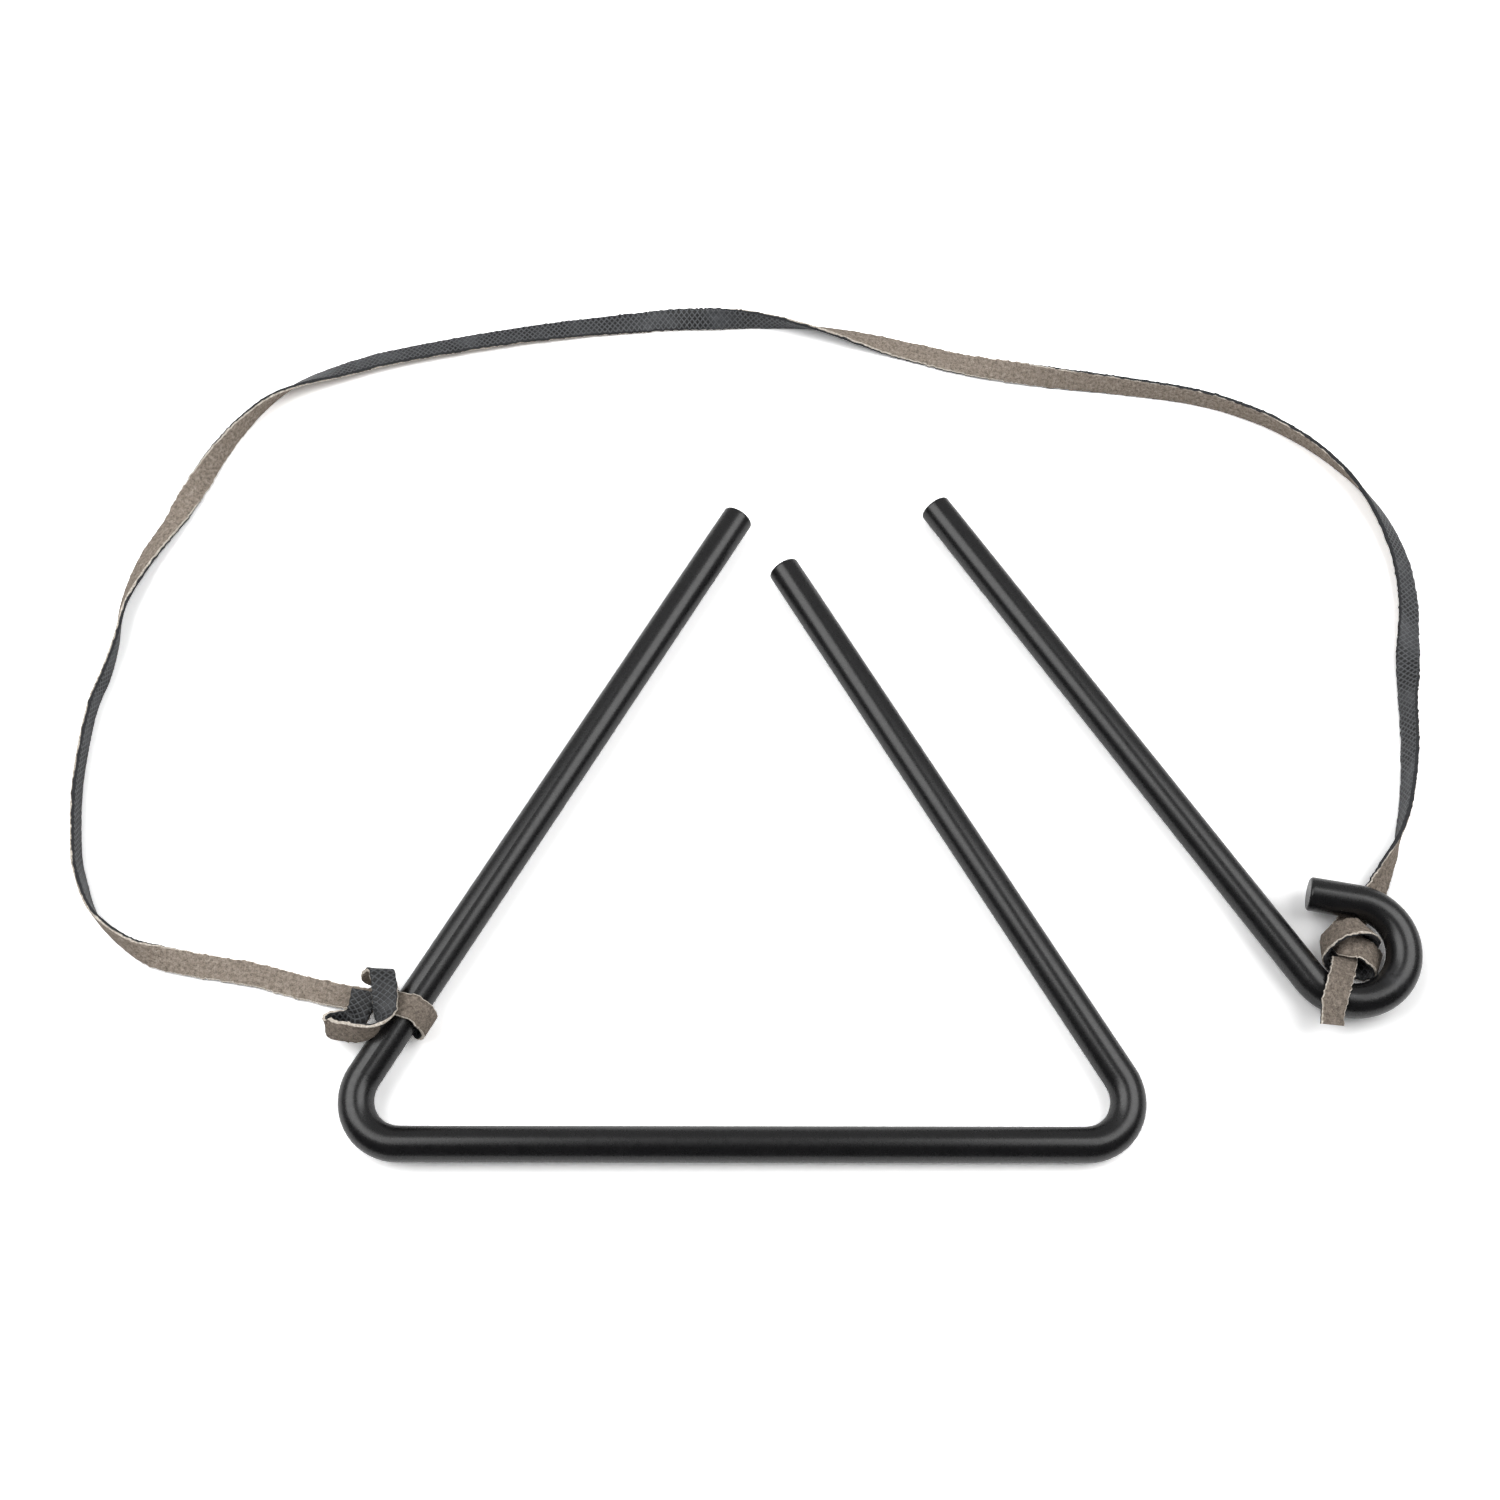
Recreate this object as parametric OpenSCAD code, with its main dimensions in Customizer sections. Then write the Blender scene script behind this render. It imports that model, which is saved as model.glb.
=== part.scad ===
/* [Bar] */
// Diameter of the round steel bar that both metal pieces are bent from
bar_d = 9.5; // [8:0.1:11]
// Rounding of the sawn ends
end_round = 0.8; // [0.3:0.1:1.5]

/* [Triangle] */
// Side of the triangle, between the corners that the bar's axes would meet at
side = 223.2; // [205:0.2:240]
// Radius of the two bends, on the bar's axis
bend_r = 12; // [9:0.5:18]
// Left leg, from the lower left corner to its sawn end
left_len = 220; // [190:0.5:222]
// Right leg, from the lower right corner to its sawn end
right_len = 199.5; // [160:0.5:204]

/* [Striker] */
// Straight shaft, from the eye's bend to the tip
shaft_len = 178.5; // [140:0.5:195]
// Radius of the eye, on the bar's axis
eye_r = 14; // [13:0.25:17]
// How far round the eye is bent
eye_turn = 225; // [205:1:240]
// Straight stub that the eye ends in
eye_stub = 13; // [8:0.5:18]
// Roll of the lying striker, with the eye raised over the lace
eye_tilt = 8; // [7:0.5:11]
// Direction in which the shaft lies, from +X
shaft_angle = 122.85; // [120:0.05:126]
// Eye to the right of the triangle's right corner
eye_x = 55.7; // [50:0.1:65]
// Eye in front of the triangle's base
eye_y = 52.6; // [45:0.1:60]

/* [Lace] */
// Width of the flat leather lace
lace_w = 6.35; // [5:0.05:6.6]
// Thickness of the lace
lace_t = 1.3; // [1:0.05:1.5]
// Chamfer of the lace's cut edges
lace_edge = 0.25; // [0.1:0.05:0.4]
// Middle of the hitch, up the left leg from its corner
hitch_at = 42; // [38:0.5:60]

/* [Fits] */
// Room between the bar and the lace that goes round it
wrap_gap = 0.45; // [0.35:0.05:0.8]

/* [Hidden] */
$fn = 48;
bar_r = bar_d / 2;

// The bar is slightly thicker in its bends, and a straight starts this far inside them
swell = 0.02;
lap = 0.4;

// Plan of the layout: the middle of the base, the two lower corners and the eye
base_mid = [-39.2, -96.4];
corner_l = [base_mid.x - side / 2, base_mid.y];
corner_r = [base_mid.x + side / 2, base_mid.y];
eye_mid = [corner_r.x + eye_x, corner_r.y + eye_y];
tangent = bend_r / tan(30);

// The left leg lies on the lace's turn under it, level, and the right bend on the surface
leg_z = bar_r + lace_t + wrap_gap;
reach = (side - tangent) * sin(60) - bend_r * cos(60) + bend_r;
lean = asin((leg_z - bar_r) / reach);
leg_dir = [cos(60), sin(60), 0];
leg_out = [-sin(60), cos(60), 0];

// The shaft's line and the point where the eye's bend begins
shaft_side = [sin(shaft_angle), -cos(shaft_angle)];
eye_start = eye_mid - shaft_side * eye_r * cos(eye_tilt);

// Turn of lace round the left leg, from the run to the cut end.
// [along the leg, outwards, above the bar's axis], then the way the grain side faces.
// The points belong to a bar and lace whose middle lies hitch_r from the bar's axis.
hitch_r = 5.4;
HITCH = [
    [[-9, 30, -5.8], [0, 0, -1]],
    [[-7.2, 24, -5.6], [0, 0, -1]],
    [[-5.4, 18, -4.3], [0, -0.2, -1]],
    [[-3.8, 12.5, -1.8], [0, -0.45, -0.9]],
    [[-2.4, 7.8, 1.7], [0, -0.6, -0.8]],
    [[-1.6, 4.2, 4.4], [0, -0.6, -0.8]],
    [[-0.8, 0.4, 5.8], [0, 0, -1]],
    [[0, -2.8, 5.5], [0, 0.2, -1]],
    [[-0.2, -5.8, 3.8], [0, 0.7, -0.7]],
    [[-1, -7.2, 0], [0, 1, 0]],
    [[-1.8, -5.8, -4], [0, 0.7, 0.7]],
    [[-1.8, -2.4, -5.5], [0, 0.1, 1]],
    [[-1.2, 0.4, -5.8], [0, 0, 1]],
    [[-0.6, 3.2, -5.5], [0, 0, 1]],
    [[0.6, 6.6, -4.7], [0.57, 0, 0.82]],
    [[2, 10, -3.4], [0.95, 0.05, 0.3]],
    [[1.8, 13, -1.6], [0.93, 0.35, -0.15]],
    [[2, 12.7, 1.8], [0.92, 0.38, -0.1]],
    [[3.4, 11.5, 5.3], [0.88, 0.2, 0.3]],
    [[3.8, 9.8, 7.8], [0.55, -0.1, 0.8]],
    [[1.7, 7.6, 8.7], [0.1, -0.15, 1]],
    [[-0.7, 5.4, 8.7], [-0.3, -0.15, 0.95]],
    [[-3.6, 3.4, 8.4], [-0.1, 0.1, 1]],
    [[-6.7, 2.4, 8.2], [0.15, 0.65, 0.7]],
    [[-9.2, 2.6, 8.1], [0.6, 0.75, 0.2]],
    [[-11.9, 4.8, 6.9], [0.75, 0.5, -0.35]],
    [[-13.6, 8.4, 4.7], [0.7, 0.35, -0.6]],
    [[-14.9, 12.2, 2.8], [0.7, 0.35, -0.6]],
    [[-15.3, 15.4, 1.6], [0.6, -0.5, -0.3]],
    [[-14, 16.8, 1.5], [-0.2, -0.95, 0.1]],
    [[-12.6, 14.6, 1.3], [-0.75, -0.4, 0.55]],
    [[-11.6, 12, 1.5], [-0.7, 0.1, 0.7]],
    [[-9.9, 10.4, 2], [-0.5, 0.1, 0.85]],
    [[-7.7, 10.3, 3], [-0.3, 0, 0.95]],
    [[-5.2, 11, 3.7], [-0.1, 0, 1]],
    [[-2.4, 12, 4.2], [0, 0, 1]],
];

// Knot in the striker's eye, from the run to the cut end.
// [X and Y from the eye's middle, height], then the way the grain side faces.
KNOT = [
    [[15.7, 27, 2.9], [-0.7, 0.35, -0.6]],
    [[11.6, 19.5, 1.6], [-0.4, 0.2, -0.9]],
    [[7.8, 14.2, 0.9], [0, 0, -1]],
    [[3.8, 10.4, 1.9], [0.05, -0.05, -1]],
    [[0.4, 7.6, 4.1], [0.25, -0.15, -0.95]],
    [[-1.9, 5.2, 5.5], [0.45, -0.1, -0.9]],
    [[-2.7, 2.9, 6.8], [0.88, 0.05, -0.45]],
    [[-1.2, 1.3, 7.8], [0.45, 0.1, -0.9]],
    [[1.2, 0.7, 8], [-0.05, -0.1, -1]],
    [[3, 0, 7.8], [-0.2, -0.15, -0.96]],
    [[5, -1.1, 7.1], [-0.2, -0.15, -0.96]],
    [[6.7, -2.1, 5.7], [-0.4, -0.05, -0.9]],
    [[7.9, -2.9, 3.7], [-0.8, 0.3, -0.5]],
    [[7.9, -3.2, 1.9], [-0.8, 0.35, 0.5]],
    [[6, -3.4, 0.9], [-0.1, 0, 1]],
    [[2, -3, 0.75], [0, 0, 1]],
    [[-2.8, -1.6, 1], [0.1, 0, 1]],
    [[-6.2, 0.2, 2.6], [0.8, 0.15, 0.6]],
    [[-6.4, 2.2, 5.2], [1, -0.1, 0]],
    [[-5.6, 3.3, 7.3], [0.85, -0.3, -0.4]],
    [[-4.2, 4.3, 9.2], [0.6, -0.4, -0.65]],
    [[-2.1, 5, 10.8], [0.25, -0.55, -0.8]],
    [[0.4, 5.4, 11.6], [0, -0.6, -0.8]],
    [[2.8, 5.3, 11], [-0.35, -0.6, -0.7]],
    [[4.8, 4.9, 8.4], [-0.6, -0.7, -0.4]],
    [[5.8, 4.4, 5.4], [-0.6, -0.8, 0]],
    [[5, 3, 3.2], [-0.4, -0.2, 0.85]],
    [[2.6, 1.8, 2.9], [0, 0, 1]],
    [[0, 0.9, 3.3], [0.2, -0.2, 0.95]],
    [[-1.6, -0.3, 4.3], [0.7, -0.7, 0]],
    [[-1.8, -2, 5.3], [0.15, -0.2, -1]],
    [[-2.6, -4, 6.7], [-0.2, -0.45, -0.85]],
    [[-4, -6.6, 8.9], [-0.2, -0.45, -0.85]],
    [[-6.4, -11, 11.2], [-0.15, -0.25, -0.95]],
    [[-7.6, -13.9, 11.8], [0, 0, -1]],
    [[-8.7, -17.3, 11.1], [-0.1, 0.2, -0.95]],
    [[-9.2, -21.6, 9.9], [-0.3, 0.35, -0.9]],
];

// Free run between them, lying on the surface: [X, Y, roll].
// Roll 0 has the grain side up, 90 has it facing right of the way from hitch to knot.
RUN = [
    [-175, -49, 180],
    [-190, -46.5, 175],
    [-201, -44.5, 150],
    [-210, -41, 113],
    [-220.5, -32.5, 95],
    [-226, -22, 87],
    [-229, -12, 90],
    [-231.5, 8, 92],
    [-231, 30, 94],
    [-228.5, 42, 94],
    [-227, 53, 104],
    [-226.5, 66, 122],
    [-222.5, 81, 150],
    [-216, 95, 168],
    [-209, 110, 222],
    [-201.5, 124.5, 257],
    [-192.5, 137, 281],
    [-182.5, 145, 310],
    [-168, 151.5, 336],
    [-150, 157.5, 342],
    [-110, 166, 350],
    [-70, 171, 372],
    [-50, 171, 405],
    [-34, 170, 445],
    [-15, 167, 488],
    [11, 160.5, 538],
    [34, 153.5, 555],
    [59, 148, 598],
    [82, 144.5, 614],
    [106, 140, 625],
    [124, 133, 632],
    [137, 124.5, 640],
    [145.5, 116.5, 648],
    [152.5, 107.5, 660],
    [158.5, 95.5, 678],
    [162, 82, 690],
    [162.5, 69, 698],
    [161, 57, 706],
    [157, 35, 780],
    [155, 18, 788],
    [151.5, 2, 800],
    [148.5, -7, 812],
    [146, -13, 834],
];
steps = 3;

function unit(v) = v / norm(v);

function last_of(list) = list[len(list) - 1];

function turned(list) = [for (i = [len(list) - 1:-1:0]) list[i]];

// Hitch point in the part's frame, pushed out from the bar when bar or lace is thicker
function hitch_point(p) =
    let (away = unit([p.y, p.z]) * (bar_r + lace_t / 2 - hitch_r))
    let (at = leg_dir * (hitch_at + p.x) + leg_out * (p.y + away.x))
    [corner_l.x + at.x, corner_l.y + at.y, leg_z + p.z + away.y];

function hitch_way(n) = leg_dir * n.x + leg_out * n.y + [0, 0, n.z];

// Run point with the lace rolled and resting on the surface
function run_point(i) =
    let (a = RUN[max(i - 1, 0)], b = RUN[i], c = RUN[min(i + 1, len(RUN) - 1)])
    let (way = unit([c.x - a.x, c.y - a.y]), roll = b.z)
    let (high = abs(sin(roll)) * lace_w / 2 + abs(cos(roll)) * lace_t / 2)
    [[b.x, b.y, high], [way.y * sin(roll), -way.x * sin(roll), cos(roll)]];

lace_points = concat(
    turned([for (h = HITCH) [hitch_point(h[0]), hitch_way(h[1])]]),
    [for (i = [0:len(RUN) - 1]) run_point(i)],
    [for (k = KNOT) [[eye_mid.x + k[0].x, eye_mid.y + k[0].y, k[0].z], k[1]]]
);

// Smooth curve through four points at t of the middle stretch
function through(a, b, c, d, t) =
    (2 * b + (c - a) * t + (2 * a - 5 * b + 4 * c - d) * t * t + (3 * b - a - 3 * c + d) * t * t * t) / 2;

function smooth(list, k) = [
    for (i = [0:len(list) - 2])
        let (b = list[i][k], c = list[i + 1][k])
        let (a = i > 0 ? list[i - 1][k] : 2 * b - c)
        let (d = i < len(list) - 2 ? list[i + 2][k] : 2 * c - b)
        for (s = [0:steps - 1])
            through(a, b, c, d, s / steps),
    last_of(list)[k]
];

lace_mid = smooth(lace_points, 0);
lace_grain = smooth(lace_points, 1);

// Lace's section at ring i: eight corners across its width and thickness, never below the surface
function lace_ring(i) =
    let (last = len(lace_mid) - 1)
    let (t = unit(lace_mid[min(i + 1, last)] - lace_mid[max(i - 1, 0)]))
    let (n = unit(lace_grain[i] - t * (lace_grain[i] * t)), b = cross(t, n))
    let (low = abs(b.z) * lace_w / 2 + abs(n.z) * lace_t / 2)
    let (p = [lace_mid[i].x, lace_mid[i].y, max(lace_mid[i].z, low)])
    let (w = lace_w / 2, h = lace_t / 2, e = lace_edge)
    [for (q = [[w - e, h], [e - w, h], [-w, h - e], [-w, e - h], [e - w, -h], [w - e, -h], [w, e - h], [w, h - e]])
        p + b * q.x + n * q.y];

// Closed stretch of lace between two rings
module lace_stretch(first, last) {
    rings = [for (i = [first:last]) lace_ring(i)];
    count = len(rings);
    points = [for (ring = rings) for (p = ring) p];
    walls = [
        for (j = [0:count - 2])
            for (k = [0:7])
                let (m = (k + 1) % 8)
                for (f = [[k, m, m + 8], [k, m + 8, k + 8]])
                    [for (v = f) v + j * 8]
    ];
    near_cap = [for (k = [1:6]) [0, k + 1, k]];
    far_cap = [for (k = [1:6]) [for (v = [0, k, k + 1]) v + (count - 1) * 8]];
    polyhedron(points = points, faces = concat(walls, near_cap, far_cap));
}

// Straight bar along +Z from inside a bend, whose far end is sawn and lightly rounded
module rod(length) {
    rotate_extrude()
        union() {
            translate([0, -lap])
                square([bar_r - end_round, length + lap]);
            translate([0, -lap])
                square([bar_r, length + lap - end_round]);
            translate([bar_r - end_round, length - end_round])
                circle(r = end_round);
        }
}

// Bend in the XY plane, round to the left from the -Y side of its centre
module bend(radius, turn) {
    rotate([0, 0, -90])
        rotate_extrude(angle = turn)
            translate([radius, 0])
                circle(r = bar_r + swell);
}

// Triangle flat in the XY plane, with its base's middle at the origin
module flat_triangle() {
    half = side / 2 - tangent;
    translate([-half - lap, 0, 0])
        rotate([0, 90, 0])
            cylinder(r = bar_r, h = 2 * (half + lap));
    translate([half, bend_r, 0]) {
        bend(bend_r, 120);
        rotate([0, 0, 120])
            translate([0, -bend_r, 0])
                rotate([0, 90, 0])
                    rod(right_len - tangent);
    }
    translate([-half, bend_r, 0])
        rotate([0, 0, -120]) {
            bend(bend_r, 120);
            translate([0, -bend_r, 0])
                rotate([0, -90, 0])
                    rod(left_len - tangent);
        }
}

// Triangle lying with its left leg level on the lace, open at the far corner
module triangle_bar() {
    color("#1b1b1d")
        translate([corner_l.x, corner_l.y, leg_z])
            rotate([0, 0, 60])
                rotate([lean, 0, 0])
                    rotate([0, 0, -60])
                        translate([side / 2, 0, 0])
                            flat_triangle();
}

// Striker: shaft with an eye bent at its near end, which finishes in a straight stub
module striker_bar() {
    color("#1b1b1d")
        translate([eye_start.x, eye_start.y, bar_r])
            rotate([0, 0, shaft_angle])
                rotate([-eye_tilt, 0, 0]) {
                    rotate([0, 90, 0])
                        rod(shaft_len);
                    translate([0, -eye_r, 0])
                        rotate([0, 0, 180]) {
                            bend(eye_r, eye_turn);
                            rotate([0, 0, eye_turn])
                                translate([0, -eye_r, 0])
                                    rotate([0, 90, 0])
                                        rod(eye_stub);
                        }
                }
}

hitch_last = (len(HITCH) - 1) * steps;
knot_first = (len(HITCH) + len(RUN)) * steps;

module triangle_hitch() {
    color("#877a6d")
        lace_stretch(0, hitch_last);
}

module lace_run() {
    color("#877a6d")
        lace_stretch(hitch_last, knot_first);
}

module striker_knot() {
    color("#877a6d")
        lace_stretch(knot_first, len(lace_mid) - 1);
}

triangle_bar();
striker_bar();
lace_run();
triangle_hitch();
striker_knot();
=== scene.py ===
# %% [markdown]
# # A triangle dinner bell
# Two bent steel bars and one leather lace: the triangle, its striker and the strip that ties them
# together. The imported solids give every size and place, so this lesson is about looks: a satin coating,
# the three faces of a cut leather strip and a quiet white table.

# %% Load the frame
import math

import bpy
import numpy as np
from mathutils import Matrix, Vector


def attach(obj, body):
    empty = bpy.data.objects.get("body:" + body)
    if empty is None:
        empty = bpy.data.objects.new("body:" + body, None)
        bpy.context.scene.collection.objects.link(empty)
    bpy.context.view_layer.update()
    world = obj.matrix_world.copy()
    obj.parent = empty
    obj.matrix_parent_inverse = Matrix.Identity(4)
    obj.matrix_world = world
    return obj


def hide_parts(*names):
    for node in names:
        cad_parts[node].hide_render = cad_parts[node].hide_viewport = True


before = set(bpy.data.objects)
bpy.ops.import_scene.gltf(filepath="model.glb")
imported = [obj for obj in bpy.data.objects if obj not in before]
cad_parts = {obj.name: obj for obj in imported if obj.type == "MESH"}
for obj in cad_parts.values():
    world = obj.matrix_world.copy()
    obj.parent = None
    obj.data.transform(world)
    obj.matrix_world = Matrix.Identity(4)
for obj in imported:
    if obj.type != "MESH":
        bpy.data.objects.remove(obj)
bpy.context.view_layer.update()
MM = 0.001
scene = bpy.context.scene
print("nodes:", sorted(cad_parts))

# %% [markdown]
# The picture was taken from above and in front, with a lens that keeps the far end of the legs nearly as
# thick as the base. A camera is a lens length, a place and one tilt, so these are written down and no
# helper is used.

# %% Camera
CAMERA_AT = (-37.3 * MM, -176.5 * MM, 458.6 * MM)
LOOKING_DOWN = 66.91
LENS_LENGTH = 40.8
SENSOR_WIDTH = 36
NEAREST_SEEN = 0.01

lens = bpy.data.cameras.new("table_camera")
lens.sensor_width = SENSOR_WIDTH
lens.lens = LENS_LENGTH
lens.clip_start = NEAREST_SEEN
camera = bpy.data.objects.new("table_camera", lens)
camera.location = CAMERA_AT
camera.rotation_euler = (math.radians(90 - LOOKING_DOWN), 0, 0)
scene.collection.objects.link(camera)
scene.camera = camera
print("camera height:", round(CAMERA_AT[2], 3), "m")

# %% [markdown]
# The lace is one flat strip. It goes round the left leg in a loose hitch, lies on the table in a long
# arch, turning over as it goes, and ends in a knot inside the striker's eye. A strip needs more than a
# line: at each point it also needs the way its grain side faces. So every route point is a place and a
# direction. The hitch is written in the leg's own directions, the knot from the middle of the eye, and
# the run in plan with a roll angle.

# %% Route of the lace, in millimetres
LACE_W = 6.35
LACE_T = 1.3
LEG_CORNER = (-150.8, -96.4)
LEG_HEIGHT = 6.5
HITCH_AT = 42
EYE_MIDDLE = (128.1, -43.8)

HITCH = [
    [[-9, 30, -5.8], [0, 0, -1]],
    [[-7.2, 24, -5.6], [0, 0, -1]],
    [[-5.4, 18, -4.3], [0, -0.2, -1]],
    [[-3.8, 12.5, -1.8], [0, -0.45, -0.9]],
    [[-2.4, 7.8, 1.7], [0, -0.6, -0.8]],
    [[-1.6, 4.2, 4.4], [0, -0.6, -0.8]],
    [[-0.8, 0.4, 5.8], [0, 0, -1]],
    [[0, -2.8, 5.5], [0, 0.2, -1]],
    [[-0.2, -5.8, 3.8], [0, 0.7, -0.7]],
    [[-1, -7.2, 0], [0, 1, 0]],
    [[-1.8, -5.8, -4], [0, 0.7, 0.7]],
    [[-1.8, -2.4, -5.5], [0, 0.1, 1]],
    [[-1.2, 0.4, -5.8], [0, 0, 1]],
    [[-0.6, 3.2, -5.5], [0, 0, 1]],
    [[0.6, 6.6, -4.7], [0.57, 0, 0.82]],
    [[2, 10, -3.4], [0.95, 0.05, 0.3]],
    [[1.8, 13, -1.6], [0.93, 0.35, -0.15]],
    [[2, 12.7, 1.8], [0.92, 0.38, -0.1]],
    [[3.4, 11.5, 5.3], [0.88, 0.2, 0.3]],
    [[3.8, 9.8, 7.8], [0.55, -0.1, 0.8]],
    [[1.7, 7.6, 8.7], [0.1, -0.15, 1]],
    [[-0.7, 5.4, 8.7], [-0.3, -0.15, 0.95]],
    [[-3.6, 3.4, 8.4], [-0.1, 0.1, 1]],
    [[-6.7, 2.4, 8.2], [0.15, 0.65, 0.7]],
    [[-9.2, 2.6, 8.1], [0.6, 0.75, 0.2]],
    [[-11.9, 4.8, 6.9], [0.75, 0.5, -0.35]],
    [[-13.6, 8.4, 4.7], [0.7, 0.35, -0.6]],
    [[-14.9, 12.2, 2.8], [0.7, 0.35, -0.6]],
    [[-15.3, 15.4, 1.6], [0.6, -0.5, -0.3]],
    [[-14, 16.8, 1.5], [-0.2, -0.95, 0.1]],
    [[-12.6, 14.6, 1.3], [-0.75, -0.4, 0.55]],
    [[-11.6, 12, 1.5], [-0.7, 0.1, 0.7]],
    [[-9.9, 10.4, 2], [-0.5, 0.1, 0.85]],
    [[-7.7, 10.3, 3], [-0.3, 0, 0.95]],
    [[-5.2, 11, 3.7], [-0.1, 0, 1]],
    [[-2.4, 12, 4.2], [0, 0, 1]],
]

RUN = [
    [-175, -49, 180],
    [-190, -46.5, 175],
    [-201, -44.5, 150],
    [-210, -41, 113],
    [-220.5, -32.5, 95],
    [-226, -22, 87],
    [-229, -12, 90],
    [-231.5, 8, 92],
    [-231, 30, 94],
    [-228.5, 42, 94],
    [-227, 53, 104],
    [-226.5, 66, 122],
    [-222.5, 81, 150],
    [-216, 95, 168],
    [-209, 110, 222],
    [-201.5, 124.5, 257],
    [-192.5, 137, 281],
    [-182.5, 145, 310],
    [-168, 151.5, 336],
    [-150, 157.5, 342],
    [-110, 166, 350],
    [-70, 171, 372],
    [-50, 171, 405],
    [-34, 170, 445],
    [-15, 167, 488],
    [11, 160.5, 538],
    [34, 153.5, 555],
    [59, 148, 598],
    [82, 144.5, 614],
    [106, 140, 625],
    [124, 133, 632],
    [137, 124.5, 640],
    [145.5, 116.5, 648],
    [152.5, 107.5, 660],
    [158.5, 95.5, 678],
    [162, 82, 690],
    [162.5, 69, 698],
    [161, 57, 706],
    [157, 35, 780],
    [155, 18, 788],
    [151.5, 2, 800],
    [148.5, -7, 812],
    [146, -13, 834],
]

KNOT = [
    [[15.7, 27, 2.9], [-0.7, 0.35, -0.6]],
    [[11.6, 19.5, 1.6], [-0.4, 0.2, -0.9]],
    [[7.8, 14.2, 0.9], [0, 0, -1]],
    [[3.8, 10.4, 1.9], [0.05, -0.05, -1]],
    [[0.4, 7.6, 4.1], [0.25, -0.15, -0.95]],
    [[-1.9, 5.2, 5.5], [0.45, -0.1, -0.9]],
    [[-2.7, 2.9, 6.8], [0.88, 0.05, -0.45]],
    [[-1.2, 1.3, 7.8], [0.45, 0.1, -0.9]],
    [[1.2, 0.7, 8], [-0.05, -0.1, -1]],
    [[3, 0, 7.8], [-0.2, -0.15, -0.96]],
    [[5, -1.1, 7.1], [-0.2, -0.15, -0.96]],
    [[6.7, -2.1, 5.7], [-0.4, -0.05, -0.9]],
    [[7.9, -2.9, 3.7], [-0.8, 0.3, -0.5]],
    [[7.9, -3.2, 1.9], [-0.8, 0.35, 0.5]],
    [[6, -3.4, 0.9], [-0.1, 0, 1]],
    [[2, -3, 0.75], [0, 0, 1]],
    [[-2.8, -1.6, 1], [0.1, 0, 1]],
    [[-6.2, 0.2, 2.6], [0.8, 0.15, 0.6]],
    [[-6.4, 2.2, 5.2], [1, -0.1, 0]],
    [[-5.6, 3.3, 7.3], [0.85, -0.3, -0.4]],
    [[-4.2, 4.3, 9.2], [0.6, -0.4, -0.65]],
    [[-2.1, 5, 10.8], [0.25, -0.55, -0.8]],
    [[0.4, 5.4, 11.6], [0, -0.6, -0.8]],
    [[2.8, 5.3, 11], [-0.35, -0.6, -0.7]],
    [[4.8, 4.9, 8.4], [-0.6, -0.7, -0.4]],
    [[5.8, 4.4, 5.4], [-0.6, -0.8, 0]],
    [[5, 3, 3.2], [-0.4, -0.2, 0.85]],
    [[2.6, 1.8, 2.9], [0, 0, 1]],
    [[0, 0.9, 3.3], [0.2, -0.2, 0.95]],
    [[-1.6, -0.3, 4.3], [0.7, -0.7, 0]],
    [[-1.8, -2, 5.3], [0.15, -0.2, -1]],
    [[-2.6, -4, 6.7], [-0.2, -0.45, -0.85]],
    [[-4, -6.6, 8.9], [-0.2, -0.45, -0.85]],
    [[-6.4, -11, 11.2], [-0.15, -0.25, -0.95]],
    [[-7.6, -13.9, 11.8], [0, 0, -1]],
    [[-8.7, -17.3, 11.1], [-0.1, 0.2, -0.95]],
    [[-9.2, -21.6, 9.9], [-0.3, 0.35, -0.9]],
]

LEG_WAY = np.array([0.5, math.sqrt(3) / 2, 0])
LEG_OUT = np.array([-math.sqrt(3) / 2, 0.5, 0])


def hitch_points():
    """Hitch in the part's frame, from its cut end to the run."""
    corner = np.array([LEG_CORNER[0], LEG_CORNER[1], LEG_HEIGHT])
    rows = []
    for (along, out, up), (n_along, n_out, n_up) in reversed(HITCH):
        place = corner + LEG_WAY * (HITCH_AT + along) + LEG_OUT * out + np.array([0, 0, up])
        faces = LEG_WAY * n_along + LEG_OUT * n_out + np.array([0, 0, n_up])
        rows.append(np.concatenate([place, faces]))
    return rows


def run_points():
    """Run lying on the table, its height set by how far it is rolled."""
    rows = []
    for i, (x, y, roll) in enumerate(RUN):
        before = RUN[max(i - 1, 0)]
        after = RUN[min(i + 1, len(RUN) - 1)]
        way = np.array([after[0] - before[0], after[1] - before[1]])
        way = way / np.linalg.norm(way)
        s, c = math.sin(math.radians(roll)), math.cos(math.radians(roll))
        high = abs(s) * LACE_W / 2 + abs(c) * LACE_T / 2
        rows.append(np.array([x, y, high, way[1] * s, -way[0] * s, c]))
    return rows


def knot_points():
    """Knot in the part's frame, from the run to its cut end."""
    middle = np.array([EYE_MIDDLE[0], EYE_MIDDLE[1], 0])
    return [np.concatenate([middle + np.array(place), faces]) for place, faces in KNOT]


route = np.array(hitch_points() + run_points() + knot_points())
print("route points:", len(route))

# %% [markdown]
# A smooth curve through the points carries the strip. It is divided into rings about every 0.7 mm, so the
# tight folds of the knot stay round. The strip's own directions come from the curve: along it, out of the
# grain side and across its width. Where a twist would dip below the table it is lifted onto it.

# %% Smooth the route and find the strip's directions
RING_EVERY = 0.7
FEWEST_RINGS = 4


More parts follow.
